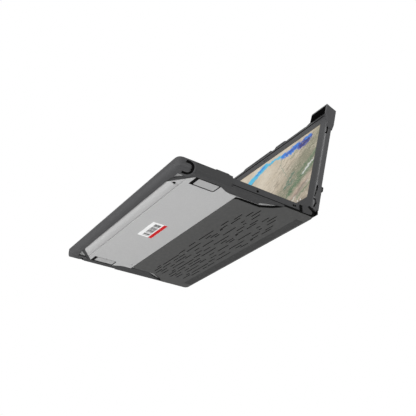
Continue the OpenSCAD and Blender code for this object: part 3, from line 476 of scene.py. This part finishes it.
def key_boxes(node):
    """The lowest and highest corners of each separate keycap in a CAD node, from left to right
    and, where one is above another, from the nearer to the farther."""
    mesh = bmesh.new()
    mesh.from_mesh(node.data)
    bmesh.ops.remove_doubles(mesh, verts=mesh.verts, dist=1e-6)
    left = set(mesh.verts)
    boxes = []
    while left:
        island = {left.pop()}
        front = list(island)
        while front:
            for edge in front.pop().link_edges:
                for vert in edge.verts:
                    if vert in left:
                        left.remove(vert)
                        island.add(vert)
                        front.append(vert)
        axes = [[v.co[i] for v in island] for i in range(3)]
        boxes.append((Vector([min(a) for a in axes]), Vector([max(a) for a in axes])))
    mesh.free()
    return sorted(boxes, key=lambda box: (box[0].x, box[0].y))


def rounded_ring(half_x, half_y, radius):
    """Points round a rounded rectangle, anticlockwise."""
    points = []
    for turn, (sx, sy) in enumerate(((1, 1), (-1, 1), (-1, -1), (1, -1))):
        for step in range(CORNER_STEPS + 1):
            angle = math.pi / 2 * (turn + step / CORNER_STEPS)
            points.append((sx * (half_x - radius) + radius * math.cos(angle),
                           sy * (half_y - radius) + radius * math.sin(angle)))
    return points


def join_rings(mesh, rings):
    """Faces between each ring of points and the next one up."""
    for lower, upper in zip(rings, rings[1:]):
        for i in range(len(lower)):
            j = (i + 1) % len(lower)
            mesh.faces.new((lower[i], lower[j], upper[j], upper[i]))


def add_bump(mesh, centre):
    """A raised bar to feel for: rings of points between two poles."""
    bottom = mesh.verts.new(centre - Vector((0, 0, BUMP_HALF_SIZE.z)))
    top = mesh.verts.new(centre + Vector((0, 0, BUMP_HALF_SIZE.z)))
    rings = []
    for step in range(1, BUMP_STEPS):
        rise = math.pi * step / BUMP_STEPS
        ring = []
        for side in range(BUMP_SIDES):
            turn = 2 * math.pi * side / BUMP_SIDES
            x = math.sin(rise) * math.cos(turn) * BUMP_HALF_SIZE.x
            y = math.sin(rise) * math.sin(turn) * BUMP_HALF_SIZE.y
            z = -math.cos(rise) * BUMP_HALF_SIZE.z
            ring.append(mesh.verts.new(centre + Vector((x, y, z))))
        rings.append(ring)
    join_rings(mesh, rings)
    for i in range(BUMP_SIDES):
        j = (i + 1) % BUMP_SIDES
        mesh.faces.new((bottom, rings[0][j], rings[0][i]))
        mesh.faces.new((rings[-1][i], rings[-1][j], top))


def add_keycap(mesh, low, high, bump):
    """One cap with a soft-edged skirt and a dished top."""
    centre = (low + high) / 2
    half_x, half_y = (high.x - low.x) / 2, (high.y - low.y) / 2
    rings = []
    for inset, drop in SKIRT:
        height = low.z if drop is None else high.z - drop
        outline = rounded_ring(half_x - inset, half_y - inset, max(KEY_CORNER - inset, 0.5 * MM))
        rings.append([mesh.verts.new((centre.x + x, centre.y + y, height)) for x, y in outline])
    rim = rounded_ring(half_x - SKIRT[-1][0], half_y - SKIRT[-1][0], KEY_CORNER - 0.9 * MM)
    for scale in TOP_SCALES:
        height = high.z - KEY_DISH * (1 - scale ** 2)
        rings.append([mesh.verts.new((centre.x + x * scale, centre.y + y * scale, height)) for x, y in rim])
    join_rings(mesh, rings)
    mesh.faces.new(list(reversed(rings[0])))
    mesh.faces.new(rings[-1])
    if bump:
        add_bump(mesh, Vector((centre.x, low.y + BUMP_INSET, high.z - BUMP_SINK)))


def add_keycaps():
    for row in ("function", "number", "upper", "home", "lower", "space"):
        name = "keys_" + row
        mesh = bmesh.new()
        for i, (low, high) in enumerate(key_boxes(nodes[name])):
            add_keycap(mesh, low, high, row == "home" and i in HOME_BUMPS)
        data = bpy.data.meshes.new("keycaps_" + row)
        mesh.to_mesh(data)
        mesh.free()
        data.polygons.foreach_set("use_smooth", [True] * len(data.polygons))
        caps = bpy.data.objects.new("keycaps_" + row, data)
        bpy.context.scene.collection.objects.link(caps)
        data.materials.append(looks["keycap"])
        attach(caps, name)
        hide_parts(name)


# ---- light, floor and camera ----
FLOOR_Z = -1.1
FLOOR_SIZE = 40
SURROUND_LIGHT = 0.42
# Each lamp: name, place, the point it faces, the width of its disc, and watts
LAMPS = [
    ("key", (-0.1, -1.5, -0.75), (0, 0, 0.02), 0.5, 22),
    ("side", (1.6, 0.2, -0.1), (0, 0, 0.08), 0.6, 9),
    ("top", (0.4, -0.5, 1.5), (0, 0, 0.05), 1.0, 20)]
CAMERA_AT = Vector((0.66410, -0.42383, -0.39445))
CAMERA_AZIMUTH = math.radians(54.564)
CAMERA_RISE = math.radians(29.644)


def add_floor():
    """A pale floor that looks evenly lit to the camera and is a plain matt surface to the lamps."""
    bpy.ops.mesh.primitive_plane_add(size=FLOOR_SIZE, location=(0, 0, FLOOR_Z))
    floor = bpy.context.object
    floor.name = "floor"
    g = Graph("floor_pale")
    pale = g.mix(g.noise(2, 3), grey(0.80), grey(0.84))
    g.set(Base_Color=pale, Roughness=0.9)
    glow = g.node("ShaderNodeEmission", {"Color": pale})
    seen = g.node("ShaderNodeLightPath").outputs["Is Camera Ray"]
    choose = g.node("ShaderNodeMixShader", {0: seen, 1: g.shader.outputs[0], 2: glow.outputs[0]})
    g.tree.links.new(choose.outputs[0], g.tree.nodes["Material Output"].inputs[0])
    floor.data.materials.append(g.material)


def add_light(name, place, aim, size, watts):
    data = bpy.data.lights.new(name, "AREA")
    data.shape = "DISK"
    data.size = size
    data.energy = watts
    light = bpy.data.objects.new(name, data)
    bpy.context.scene.collection.objects.link(light)
    light.location = place
    light.rotation_mode = "QUATERNION"
    light.rotation_quaternion = (Vector(aim) - Vector(place)).to_track_quat("-Z", "Y")
    light.visible_camera = False


def add_studio():
    """A white surround that the camera sees, a dimmer one that lights, and three soft lamps."""
    world = bpy.data.worlds.new("studio")
    bpy.context.scene.world = world
    world.use_nodes = True
    tree = world.node_tree
    seen = tree.nodes["Background"]
    seen.inputs[0].default_value = (1, 1, 1, 1)
    lighting = tree.nodes.new("ShaderNodeBackground")
    lighting.inputs[0].default_value = (1, 1, 1, 1)
    lighting.inputs[1].default_value = SURROUND_LIGHT
    path = tree.nodes.new("ShaderNodeLightPath")
    choose = tree.nodes.new("ShaderNodeMixShader")
    tree.links.new(path.outputs["Is Camera Ray"], choose.inputs[0])
    tree.links.new(lighting.outputs[0], choose.inputs[1])
    tree.links.new(seen.outputs[0], choose.inputs[2])
    tree.links.new(choose.outputs[0], tree.nodes["World Output"].inputs[0])
    for lamp in LAMPS:
        add_light(*lamp)
    bpy.context.scene.view_settings.view_transform = "Standard"


def add_camera():
    data = bpy.data.cameras.new("camera")
    data.lens = 50
    data.sensor_width = 36
    data.clip_start = 0.01
    camera = bpy.data.objects.new("camera", data)
    bpy.context.scene.collection.objects.link(camera)
    level = Vector((-math.sin(CAMERA_AZIMUTH), math.cos(CAMERA_AZIMUTH), 0))
    ahead = level * math.cos(CAMERA_RISE) + Vector((0, 0, math.sin(CAMERA_RISE)))
    right = ahead.cross(Vector((0, 0, 1))).normalized()
    up = right.cross(ahead)
    turn = Matrix((right, up, -ahead)).transposed()
    camera.matrix_world = Matrix.Translation(CAMERA_AT) @ turn.to_4x4()
    bpy.context.scene.camera = camera


dress_cad_nodes()
add_keycaps()
add_floor()
add_studio()
add_camera()
